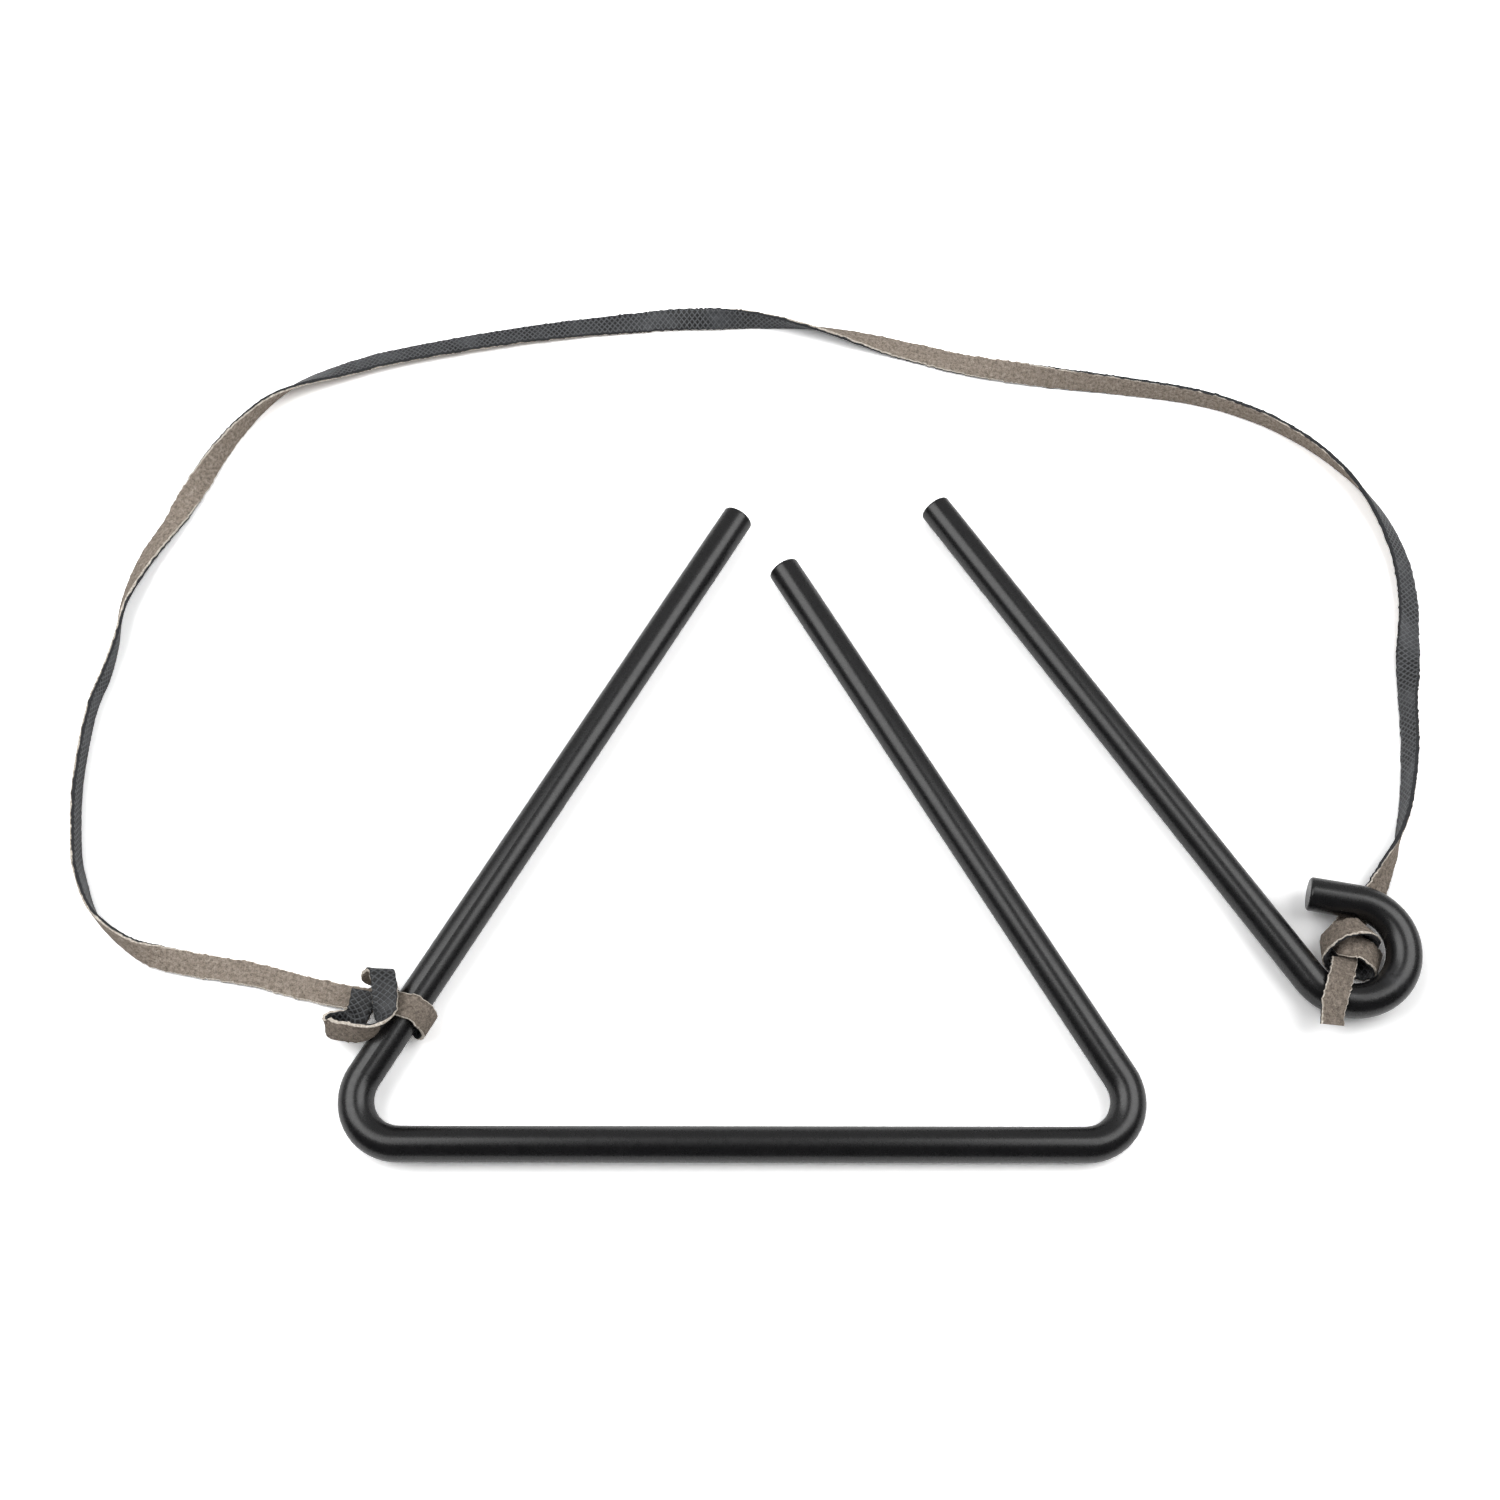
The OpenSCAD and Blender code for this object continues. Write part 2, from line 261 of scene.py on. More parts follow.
def smooth(rows):
    """Rows on a smooth curve through the given ones, and the ring number of each given row."""
    out, marks = [], []
    last = len(rows) - 1
    for i in range(last):
        b, c = rows[i], rows[i + 1]
        a = rows[i - 1] if i > 0 else 2 * b - c
        d = rows[i + 2] if i < last - 1 else 2 * c - b
        count = max(FEWEST_RINGS, round(np.linalg.norm(c[:3] - b[:3]) / RING_EVERY))
        marks.append(len(out))
        for t in np.arange(count) / count:
            bend = (2 * a - 5 * b + 4 * c - d) * t * t + (3 * b - a - 3 * c + d) * t ** 3
            out.append((2 * b + (c - a) * t + bend) / 2)
    marks.append(len(out))
    out.append(rows[-1])
    return np.array(out), marks


def unit(rows):
    """Each row as a direction of length 1."""
    return rows / np.linalg.norm(rows, axis=1)[:, None]


fine, marks = smooth(route)
middle = fine[:, :3].copy()
along = unit(np.gradient(middle, axis=0))
grain_way = unit(fine[:, 3:] - along * np.sum(fine[:, 3:] * along, axis=1)[:, None])
across = np.cross(along, grain_way)
lowest = np.abs(across[:, 2]) * LACE_W / 2 + np.abs(grain_way[:, 2]) * LACE_T / 2
middle[:, 2] = np.maximum(middle[:, 2], lowest)
travel = np.concatenate([[0], np.cumsum(np.linalg.norm(np.diff(middle, axis=0), axis=1))])
hitch_end = marks[len(HITCH) - 1]
knot_start = marks[len(HITCH) + len(RUN)]
print("rings:", len(middle), "lace length:", round(travel[-1] * MM, 3), "m")

# %% [markdown]
# The strip's section has a grain side, a flesh side and two cut edges, which get three materials. Real
# leather is never quite flat, so both sides are crowned a little, the corners are taken off and each edge
# swells at half its thickness. The section is a plain list of corners, each with the side that it belongs
# to.

# %% Section of the strip
GRAIN, FLESH, CUT = 0, 1, 2
EDGE_ROUND = 0.22
EDGE_SWELL = 0.03
CROWN = 0.05
SIDE_POINTS = 7

half_w, half_t = LACE_W / 2, LACE_T / 2
edge_top = half_t - EDGE_ROUND
flat = np.linspace(half_w - EDGE_ROUND, EDGE_ROUND - half_w, SIDE_POINTS)
section = [(x, half_t - CROWN * (x / half_w) ** 2, GRAIN) for x in flat]
section += [(-half_w, edge_top, CUT), (-half_w - EDGE_SWELL, 0, CUT), (-half_w, -edge_top, CUT)]
section += [(-x, CROWN * (x / half_w) ** 2 - half_t, FLESH) for x in flat]
section += [(half_w, -edge_top, CUT), (half_w + EDGE_SWELL, 0, CUT), (half_w, edge_top, CUT)]
corners = len(section)
around = [0.0]
for k in range(corners):
    p, q = section[k], section[(k + 1) % corners]
    around.append(around[-1] + math.hypot(q[0] - p[0], q[1] - p[1]))


def strip_material(k):
    """Face material between section corners k and k + 1."""
    a, b = section[k][2], section[(k + 1) % corners][2]
    return a if a == b else CUT


print("section corners:", corners, "distance round:", round(around[-1], 2), "mm")

# %% [markdown]
# A knife leaves the edges ragged, so each ring's two edges stand out by their own amount, up to half a
# millimetre, in short waves and longer ones from seeded random numbers. Use has marked the leather too.
# The dye has worn off the much-held edges at the hitch, so more of the edge comes out pale there. From the
# shoulder to the knot it has soaked deeper, so there the shift goes the other way. At the hitch and the
# knot, where the strip lies in tight folds, its colour is darkened, which is painted shade. These marks
# only change along the strip, so one number for each ring is enough.

# %% Ragged edges, worn dye and painted shade at the hitch and knot
RAGGED = 0.24
# For each wave its seed, how many rings lie between two values, and its share.
RAGGED_WAVES = ((11, 1, 0.6), (12, 2, 0.7), (13, 4, 0.5))
WAVE_LOW, WAVE_HIGH = -0.5, 0.45
SHOULDER_POINT = 27
WORN_FADE, DYED_FADE = 12, 15
HITCH_WORN, KNOT_DYED = 0.32, -0.28
# Strength of the painted shade at the hitch and the knot.
TIED_SHADE = 0.28
# Where the painted shade fades, measured from the start of the run and from its end.
HITCH_SHADE_FADE = (-22, -10)
KNOT_SHADE_FADE = (-10, 15)


def waves(seed, every):
    """One smooth random wave for each of the two edges, with a new value about every so many rings."""
    rng = np.random.default_rng(seed)
    rings = np.arange(len(middle))
    knots = np.arange(0, len(middle) + every, every)
    return np.stack([np.interp(rings, knots, rng.normal(0, RAGGED, len(knots))) for _ in range(2)], 1)


def along_strip(*stops):
    """A number for each ring, read between stops of a distance along the strip and its number."""
    places, numbers = zip(*stops)
    return np.interp(travel, places, numbers)


ragged = sum(waves(seed, every) * share for seed, every, share in RAGGED_WAVES)
ragged = np.abs(np.clip(ragged, WAVE_LOW, WAVE_HIGH))
run_start, run_end = travel[hitch_end], travel[knot_start]
shoulder = travel[marks[len(HITCH) + SHOULDER_POINT]]
worn_off = along_strip(
    (run_start, HITCH_WORN),
    (run_start + WORN_FADE, 0),
    (shoulder - DYED_FADE, 0),
    (shoulder, KNOT_DYED),
    (run_end, KNOT_DYED),
    (run_end + DYED_FADE, 0),
)
# Painted shade: the colour darkens towards black at the hitch and the knot and fades along the run.
painted_tie_shade = along_strip(
    (run_start + HITCH_SHADE_FADE[0], TIED_SHADE),
    (run_start + HITCH_SHADE_FADE[1], 0),
    (run_end + KNOT_SHADE_FADE[0], 0),
    (run_end + KNOT_SHADE_FADE[1], TIED_SHADE),
)
print("edges stand out:", round(ragged.mean(), 2), "mm on average, at most", round(ragged.max(), 2), "mm")

# %% [markdown]
# The strip is written as plain mesh rings, because every ring needs its own three directions. A UV map
# keeps the distance along the strip and round its section, both in metres, so that patterns follow the
# leather through every fold. One attribute keeps how deep each point lies, from 0 on the grain side to 1
# on the flesh side, shifted by the wear of the dye, and another how much painted shade the leather gets at
# the hitch and the knot.

# %% Build the lace
EDGE_BAND = 0.5
SHARP_ANGLE = 50


def lace_piece(name, first, last):
    """Closed strip between two rings, with its UV map, material numbers and attributes."""
    verts, faces, numbers, uvs, deep, tie_shade = [], [], [], [], [], []
    for i in range(first, last + 1):
        for x, y, face in section:
            side = 0 if x > 0 else 1
            near_edge = face == CUT or abs(x) > half_w - EDGE_BAND
            wide = x + math.copysign(ragged[i, side], x) * near_edge
            point = middle[i] + across[i] * wide + grain_way[i] * y
            verts.append((point[0] * MM, point[1] * MM, max(point[2], 0) * MM))
            deep.append(0.5 - y / LACE_T + worn_off[i])
            # Each point keeps how much painted shade it gets.
            tie_shade.append(painted_tie_shade[i])
    rings = last - first
    for j in range(rings):
        for k in range(corners):
            m = (k + 1) % corners
            faces.append([j * corners + k, j * corners + m, (j + 1) * corners + m, (j + 1) * corners + k])
            numbers.append(strip_material(k))
            u0, u1 = travel[first + j] * MM, travel[first + j + 1] * MM
            v0, v1 = around[k] * MM, around[k + 1] * MM
            uvs += [(u0, v0), (u0, v1), (u1, v1), (u1, v0)]
    for start, order in ((0, -1), (rings * corners, 1)):
        faces.append([start + k for k in range(corners)][::order])
        numbers.append(CUT)
        uvs += [(travel[first + start // corners] * MM, around[k] * MM) for k in range(corners)][::order]
    mesh = bpy.data.meshes.new(name)
    mesh.from_pydata(verts, [], faces)
    mesh.polygons.foreach_set("material_index", numbers)
    strip = mesh.uv_layers.new(name="strip")
    strip.data.foreach_set("uv", [c for uv in uvs for c in uv])
    for attribute, values in (("depth", deep), ("tie_shade", tie_shade)):
        mesh.attributes.new(attribute, "FLOAT", "POINT").data.foreach_set("value", values)
    mesh.polygons.foreach_set("use_smooth", [True] * len(faces))
    mesh.set_sharp_from_angle(angle=math.radians(SHARP_ANGLE))
    piece = bpy.data.objects.new(name, mesh)
    scene.collection.objects.link(piece)
    return piece


lace_hitch = lace_piece("lace_hitch", 0, hitch_end)
lace_arch = lace_piece("lace_arch", hitch_end, knot_start)
lace_knot = lace_piece("lace_knot", knot_start, len(middle) - 1)
lace_pieces = [lace_hitch, lace_arch, lace_knot]
print("lace faces:", [len(p.data.polygons) for p in lace_pieces])

# %% [markdown]
# Node trees are built in the script, so three small helpers come first: one makes a node with numbers on
# its inputs, one joins two sockets, and one makes an empty node group with its named sockets.

# %% Helpers for node trees


def add_node(tree, kind, **values):
    """New node with inputs set by name, an underscore standing for a space."""
    made = tree.nodes.new(kind)
    for name, value in values.items():
        made.inputs[name.replace("_", " ")].default_value = value
    return made


def wire(tree, source, target):
    """Link from one socket to another."""
    tree.links.new(source, target)


def new_group(name, kind, inputs, output):
    """Empty node group with its sockets, and the nodes at which it starts and ends."""
    tree = bpy.data.node_groups.new(name, kind)
    for socket, socket_type, value in inputs:
        made = tree.interface.new_socket(name=socket, in_out="INPUT", socket_type=socket_type)
        if value is not None:
            made.default_value = value
    tree.interface.new_socket(name=output[0], in_out="OUTPUT", socket_type=output[1])
    return tree, tree.nodes.new("NodeGroupInput"), tree.nodes.new("NodeGroupOutput")


print("node helpers:", add_node.__name__, wire.__name__, new_group.__name__)

# %% [markdown]
# Cut leather is a felt of fibres, and along a sliced edge some of them stand out as pale fuzz. Thousands
# of tiny strands are a job for Geometry Nodes: points are scattered on the cut edges only, a thin
# three-sided cone is set on each, turned out from the edge with some disorder, and the lot is made one
# plain mesh.

# %% Tree for the fuzz on the cut edges
FIBRES_PER_SQUARE_METRE = 6e6
FIBRE_LENGTH = 0.6 * MM
FIBRE_RADIUS = 0.03 * MM
FIBRE_SIDES = 3
# The most that a fibre leans and spins, in radians, and its length as a share of the full one.
FIBRE_LEAN, FIBRE_SPIN = 0.9, 3.1
SHORTEST, LONGEST = 0.4, 1.0
SCATTER_SEED, LEAN_SEED, SIZE_SEED = 4, 8, 15


def fibre_turn(tree, normal):
    """Rotation that points a fibre out along the normal, with a random lean."""
    out = tree.nodes.new("FunctionNodeAlignRotationToVector")
    out.axis = "Z"
    wire(tree, normal, out.inputs["Vector"])
    lean = tree.nodes.new("FunctionNodeRandomValue")
    lean.data_type = "FLOAT_VECTOR"
    lean.inputs["Min"].default_value = (-FIBRE_LEAN, -FIBRE_LEAN, -FIBRE_SPIN)
    lean.inputs["Max"].default_value = (FIBRE_LEAN, FIBRE_LEAN, FIBRE_SPIN)
    lean.inputs["Seed"].default_value = LEAN_SEED
    turn = tree.nodes.new("FunctionNodeEulerToRotation")
    wire(tree, lean.outputs[0], turn.inputs[0])
    spread = tree.nodes.new("FunctionNodeRotateRotation")
    spread.rotation_space = "LOCAL"
    wire(tree, out.outputs[0], spread.inputs[0])
    wire(tree, turn.outputs[0], spread.inputs[1])
    return spread.outputs[0]


def fibre_scale(tree):
    """Random share of the full length for each fibre."""
    size = tree.nodes.new("FunctionNodeRandomValue")
    size.data_type = "FLOAT"
    size.inputs[2].default_value = SHORTEST
    size.inputs[3].default_value = LONGEST
    size.inputs["Seed"].default_value = SIZE_SEED
    return size.outputs[1]


def fuzz_tree():
    """Tree that turns a lace mesh into the loose fibres on its cut edges."""
    inputs = [
        ("Lace", "NodeSocketGeometry", None),
        ("Fibres per square metre", "NodeSocketFloat", FIBRES_PER_SQUARE_METRE),
        ("Fibre length", "NodeSocketFloat", FIBRE_LENGTH),
        ("Fibre radius", "NodeSocketFloat", FIBRE_RADIUS),
        ("Finish", "NodeSocketMaterial", None),
    ]
    tree, start, end = new_group("edge_fuzz", "GeometryNodeTree", inputs, ("Fibres", "NodeSocketGeometry"))
    is_cut = tree.nodes.new("FunctionNodeCompare")
    is_cut.data_type = "INT"
    is_cut.operation = "EQUAL"
    is_cut.inputs[3].default_value = CUT
    wire(tree, tree.nodes.new("GeometryNodeInputMaterialIndex").outputs[0], is_cut.inputs[2])
    scatter = add_node(tree, "GeometryNodeDistributePointsOnFaces", Seed=SCATTER_SEED)
    wire(tree, start.outputs["Lace"], scatter.inputs["Mesh"])
    wire(tree, is_cut.outputs[0], scatter.inputs["Selection"])
    wire(tree, start.outputs["Fibres per square metre"], scatter.inputs["Density"])
    cone = add_node(tree, "GeometryNodeMeshCone", Vertices=FIBRE_SIDES, Radius_Top=0)
    cone.fill_type = "NONE"
    wire(tree, start.outputs["Fibre radius"], cone.inputs["Radius Bottom"])
    wire(tree, start.outputs["Fibre length"], cone.inputs["Depth"])
    plant = tree.nodes.new("GeometryNodeInstanceOnPoints")
    wire(tree, scatter.outputs["Points"], plant.inputs["Points"])
    wire(tree, cone.outputs["Mesh"], plant.inputs["Instance"])
    wire(tree, fibre_turn(tree, scatter.outputs["Normal"]), plant.inputs["Rotation"])
    wire(tree, fibre_scale(tree), plant.inputs["Scale"])
    real = tree.nodes.new("GeometryNodeRealizeInstances")
    wire(tree, plant.outputs[0], real.inputs[0])
    paint = tree.nodes.new("GeometryNodeSetMaterial")
    wire(tree, real.outputs[0], paint.inputs["Geometry"])
    wire(tree, start.outputs["Finish"], paint.inputs["Material"])
    wire(tree, paint.outputs[0], end.inputs["Fibres"])
    return tree


FUZZ = fuzz_tree()
print("fuzz tree nodes:", len(FUZZ.nodes))

# %% [markdown]
# The tree needs the whole strip once, so a copy of it carries the modifier and is then removed. Only the
# fibres are kept, as a plain mesh, and those that would reach below the table are bent up onto it.

# %% Grow the fuzz
loose_fibre = bpy.data.materials.new("loose_fibre")
fuzz_source = lace_piece("fuzz_source", 0, len(middle) - 1)
fuzz = fuzz_source.modifiers.new("fuzz", "NODES")
fuzz.node_group = FUZZ
sockets = {s.name: s.identifier for s in FUZZ.interface.items_tree if s.in_out == "INPUT"}
fuzz[sockets["Finish"]] = loose_fibre
shown = fuzz_source.evaluated_get(bpy.context.evaluated_depsgraph_get())
fuzz_mesh = bpy.data.meshes.new_from_object(shown)
fibre_points = np.empty(len(fuzz_mesh.vertices) * 3)
fuzz_mesh.vertices.foreach_get("co", fibre_points)
fibre_points[2::3] = np.maximum(fibre_points[2::3], 0)
fuzz_mesh.vertices.foreach_set("co", fibre_points)
bpy.data.objects.remove(fuzz_source)
lace_fuzz = bpy.data.objects.new("lace_fuzz", fuzz_mesh)
scene.collection.objects.link(lace_fuzz)
print("fuzz faces:", len(fuzz_mesh.polygons))

# %% [markdown]
# The lace is a free cord between the two bars. Its three strips and the fuzz are joined to one body, the
# lace, and each strip replaces the solid that stands in its place.

for piece, node in ((lace_hitch, "triangle_hitch"), (lace_arch, "lace_run"), (lace_knot, "striker_knot")):
    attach(piece, "lace")
    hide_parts(node)
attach(lace_fuzz, "lace")

# %% [markdown]
# Every finish here varies a little over its surface. One shared shader group gives that variation: noise
# at a chosen scale, stretched between two values. The materials place it with their own scales.

# %% Shared mottling group
NOISE_FROM, NOISE_TO = 0.3, 0.7


def mottle_group():
    """Noise between Low and High at a scale given in spots per metre."""
    numbers = (("Scale", 1000), ("Detail", 3), ("Low", 0), ("High", 1))
    inputs = [("Vector", "NodeSocketVector", None)]
    inputs += [(name, "NodeSocketFloat", value) for name, value in numbers]
    tree, start, end = new_group("mottle", "ShaderNodeTree", inputs, ("Value", "NodeSocketFloat"))
    noise = tree.nodes.new("ShaderNodeTexNoise")
    for name in ("Vector", "Scale", "Detail"):
        wire(tree, start.outputs[name], noise.inputs[name])
    span = add_node(tree, "ShaderNodeMapRange", From_Min=NOISE_FROM, From_Max=NOISE_TO)
    wire(tree, noise.outputs[0], span.inputs["Value"])
    wire(tree, start.outputs["Low"], span.inputs["To Min"])
    wire(tree, start.outputs["High"], span.inputs["To Max"])
    wire(tree, span.outputs[0], end.inputs["Value"])
    return tree


MOTTLE = mottle_group()


def mottle(tree, place, scale, low=0, high=1, detail=3):
    """Value of the mottling group, placed in a material with its own numbers."""
    made = tree.nodes.new("ShaderNodeGroup")
    made.node_tree = MOTTLE
    for name, value in (("Scale", scale), ("Detail", detail), ("Low", low), ("High", high)):
        made.inputs[name].default_value = value
    wire(tree, place, made.inputs["Vector"])
    return made.outputs["Value"]


print("shared group:", MOTTLE.name)

# %% [markdown]
# A material is a chain of small steps: mix two colours, add two numbers, fade with distance, raise a
# bump. Each step gets a short helper, so the materials below read like recipes.

# %% Helpers for the finishes


def fresh(material):
    """Empty node tree of a material with a Principled shader, and the shader."""
    material.use_nodes = True
    tree = material.node_tree
    tree.nodes.clear()
    shader = tree.nodes.new("ShaderNodeBsdfPrincipled")
    end = tree.nodes.new("ShaderNodeOutputMaterial")
    wire(tree, shader.outputs[0], end.inputs[0])
    return tree, shader


def object_place(tree):
    """Place in the part's frame, in metres."""
    return tree.nodes.new("ShaderNodeTexCoord").outputs["Object"]


def mix_colours(tree, factor, a, b):
    """Colour between a and b, which are colours or sockets."""
    made = tree.nodes.new("ShaderNodeMix")
    made.data_type = "RGBA"
    wire(tree, factor, made.inputs[0])
    for socket, value in ((made.inputs[6], a), (made.inputs[7], b)):
        if isinstance(value, tuple):
            socket.default_value = (*value, 1)
        else:
            wire(tree, value, socket)
    return made.outputs[2]


def maths(tree, operation, a, b):
    """Math node on numbers or sockets."""
    made = tree.nodes.new("ShaderNodeMath")
    made.operation = operation
    for socket, value in zip(made.inputs, (a, b)):
        if isinstance(value, (int, float)):
            socket.default_value = value
        else:
            wire(tree, value, socket)
    return made.outputs[0]


def ramp(tree, value, start, end, low, high):
    """Smooth step from low to high while a value goes from start to end."""
    made = add_node(tree, "ShaderNodeMapRange", From_Min=start, From_Max=end, To_Min=low, To_Max=high)
    made.interpolation_type = "SMOOTHSTEP"
    wire(tree, value, made.inputs["Value"])
    return made.outputs[0]


def away_from(tree, place, point):
    """Distance from a point, in metres."""
    made = tree.nodes.new("ShaderNodeVectorMath")
    made.operation = "DISTANCE"
    wire(tree, place, made.inputs[0])
    made.inputs[1].default_value = point
    return made.outputs["Value"]


def bump(tree, shader, height, distance):
    """Relief on a shader, from a height and the distance that a height of 1 stands for."""
    made = add_node(tree, "ShaderNodeBump", Strength=1, Distance=distance)
    wire(tree, height, made.inputs["Height"])
    wire(tree, made.outputs[0], shader.inputs["Normal"])


def dull(shader, roughness, shine):
    """Roughness and shine that are the same all over."""
    shader.inputs["Roughness"].default_value = roughness
    shader.inputs["Specular IOR Level"].default_value = shine


print("finish helpers:", [f.__name__ for f in (fresh, mix_colours, maths, ramp, away_from, bump, dull)])

# %% [markdown]
# The bars wear a satin black coating. It is almost black, its shine is soft, and under a lamp it shows a
# very fine skin like orange peel. Object coordinates are enough, because the noise has no direction.
# Where the knot rubs on the striker's eye, the coating is scuffed: a patch found by its distance from one
# point, paler, duller and rougher.

# %% Black coating
COATED = ("triangle_bar", "striker_bar")
COAT_DEEP = (0.0045, 0.0045, 0.005)
COAT_THIN = (0.0075, 0.0074, 0.008)
COAT_SHINE = 0.56
PEEL_DEPTH = 0.003 * MM
SCUFF_AT = (138 * MM, -53 * MM, 9 * MM)
SCUFF_REACH = 5.5 * MM
SCUFF_COLOUR = (0.055, 0.056, 0.06)
SCUFF_DULLER = 0.2
SCUFF_ROUGHER = 12

black_coat = bpy.data.materials.new("black_coat")
tree, shader = fresh(black_coat)
place = object_place(tree)
patch = ramp(tree, away_from(tree, place, SCUFF_AT), 0, SCUFF_REACH, 1, 0)
scuffed = maths(tree, "MULTIPLY", patch, mottle(tree, place, scale=800, detail=5))
coat = mix_colours(tree, mottle(tree, place, scale=260), COAT_DEEP, COAT_THIN)
wire(tree, mix_colours(tree, scuffed, coat, SCUFF_COLOUR), shader.inputs["Base Color"])
satin = mottle(tree, place, scale=900, low=0.255, high=0.31)
duller = maths(tree, "MULTIPLY", scuffed, SCUFF_DULLER)
wire(tree, maths(tree, "ADD", satin, duller), shader.inputs["Roughness"])
shader.inputs["Specular IOR Level"].default_value = COAT_SHINE
peel = mottle(tree, place, scale=1500, detail=2)
rougher = maths(tree, "MULTIPLY", scuffed, SCUFF_ROUGHER)
bump(tree, shader, maths(tree, "ADD", peel, rougher), PEEL_DEPTH)
for node in COATED:
    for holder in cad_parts[node].material_slots:
        holder.material = black_coat
print("coated:", *COATED)

# %% [markdown]
# The leather's patterns follow the strip, so they read its UV map and its two attributes. On both sides
# the colour goes towards black at the hitch and the knot, which is painted shade.

# %% What the lace keeps along its length
# Colour towards which the painted shade at the hitch and the knot goes.
SHADE_BLACK = (0, 0, 0)


def strip_place(tree):
    """Distance along the strip and round its section, in metres."""
    made = tree.nodes.new("ShaderNodeUVMap")
    made.uv_map = "strip"
    return made.outputs[0]


def lace_value(tree, name):
    """Number that the lace keeps at each of its points."""
    made = tree.nodes.new("ShaderNodeAttribute")
    made.attribute_name = name
    return made.outputs["Fac"]


def leather_with_tie_shade(tree, shader, colour):
    """Colour of a side of the leather, darker at the hitch and the knot, which is painted shade."""
    shaded_colour = mix_colours(tree, lace_value(tree, "tie_shade"), colour, SHADE_BLACK)
    wire(tree, shaded_colour, shader.inputs["Base Color"])


print("lace attributes:", "depth" in lace_arch.data.attributes, "tie_shade" in lace_arch.data.attributes)

# %% [markdown]
# The lace's grain side is charcoal leather pressed with a fine net. Drawing it on the UV map keeps it
# along the strip: two sets of slanting ridges cross, with a small pit in each diamond between them. The
# pits are coloured near black, which is painted shade, and the ridges a paler charcoal, which is partly
# the leather's colour and partly painted sheen. A broad noise wears the pits flat in places, where the
# ridges' colour takes over, and a fine one breaks up the ridges.

# %% Pressed grain side
NET_ALONG = 1.75 * MM
NET_ACROSS = 2.1 * MM
NET_DEPTH = 0.16 * MM
HALF_STEP = 0.5
RIDGE_EDGE, PIT_EDGE = 0.05, 0.24
# The pits' near-black is painted shade; the ridges' colour is partly the leather's charcoal, partly
# painted sheen.
PIT_SHADE = (0.002, 0.0021, 0.0024)
RIDGE_AND_SHEEN = (0.128, 0.134, 0.143)


def net_height(tree, uv):
    """1 on the slanting ridges of the pressed net and 0 in the pits between them."""
    parts = tree.nodes.new("ShaderNodeSeparateXYZ")
    wire(tree, uv, parts.inputs[0])
    along_steps = maths(tree, "DIVIDE", parts.outputs[0], NET_ALONG)
    across_steps = maths(tree, "DIVIDE", parts.outputs[1], NET_ACROSS)
    slants = [maths(tree, operation, along_steps, across_steps) for operation in ("ADD", "SUBTRACT")]
    nearest = maths(tree, "MINIMUM", *[maths(tree, "PINGPONG", slant, HALF_STEP) for slant in slants])
    return ramp(tree, nearest, RIDGE_EDGE, PIT_EDGE, 1, 0)


grain_face = bpy.data.materials.new("grain_face")
tree, shader = fresh(grain_face)
uv = strip_place(tree)
worn_flat = mottle(tree, uv, scale=90, low=-0.4, high=0.7)
pressed = maths(tree, "MAXIMUM", net_height(tree, uv), worn_flat)
# One relief gives colour and bump: painted shade in the pits, partly painted sheen on the ridges.
relief_and_shade = maths(tree, "MULTIPLY", pressed, mottle(tree, uv, scale=700, low=0.55))
leather_with_tie_shade(tree, shader, mix_colours(tree, relief_and_shade, PIT_SHADE, RIDGE_AND_SHEEN))
wire(tree, mottle(tree, uv, scale=2500, low=0.42, high=0.58), shader.inputs["Roughness"])
bump(tree, shader, relief_and_shade, NET_DEPTH)
print("net:", round(NET_ALONG / MM, 2), "by", round(NET_ACROSS / MM, 2), "mm")

# %% [markdown]
# The flesh side is grey suede: a short nap with slow clouds of colour. Two noises of different sizes make
# the nap, and the same height drives both colour and bump: dark between its tufts and paler on them, which
# is partly the suede's own speckle and partly painted shade in the hollows.

# %% Suede flesh side
# Dark colour between the tufts: partly the suede's own tone, partly painted shade in the hollows.
NAP_HOLLOW_SHADE = (0.095, 0.078, 0.063)
NAP_GREY = (0.44, 0.37, 0.305)
NAP_PALE = (0.56, 0.475, 0.4)
NAP_DEPTH = 0.16 * MM

flesh_face = bpy.data.materials.new("flesh_face")
tree, shader = fresh(flesh_face)
uv = strip_place(tree)
nap_and_shade = maths(tree, "ADD", mottle(tree, uv, scale=1000, high=0.55), mottle(tree, uv, scale=2600, high=0.45))
tufts = mix_colours(tree, mottle(tree, uv, scale=420), NAP_GREY, NAP_PALE)
leather_with_tie_shade(tree, shader, mix_colours(tree, nap_and_shade, NAP_HOLLOW_SHADE, tufts))
dull(shader, roughness=0.95, shine=0.15)
bump(tree, shader, nap_and_shade, NAP_DEPTH)
print("suede:", flesh_face.name)

# %% [markdown]
# A cut edge shows the inside of the leather: dyed near the grain and pale, flecked and rough below. The
# depth attribute tells the two apart, and some noise keeps their border uneven. The loose fibres have the
# same pale colours, a little darker.

# %% Cut edges and loose fibres
DYED_TO, RAW_FROM = 0.55, 0.7
DYED_EDGE = (0.042, 0.043, 0.046)
RAW_SHADE = (0.42, 0.36, 0.3)
RAW_PALE = (0.9, 0.84, 0.75)
RAW_DEPTH = 0.14 * MM
FIBRE_SHADE = (0.16, 0.13, 0.105)
FIBRE_PALE = (0.52, 0.45, 0.37)

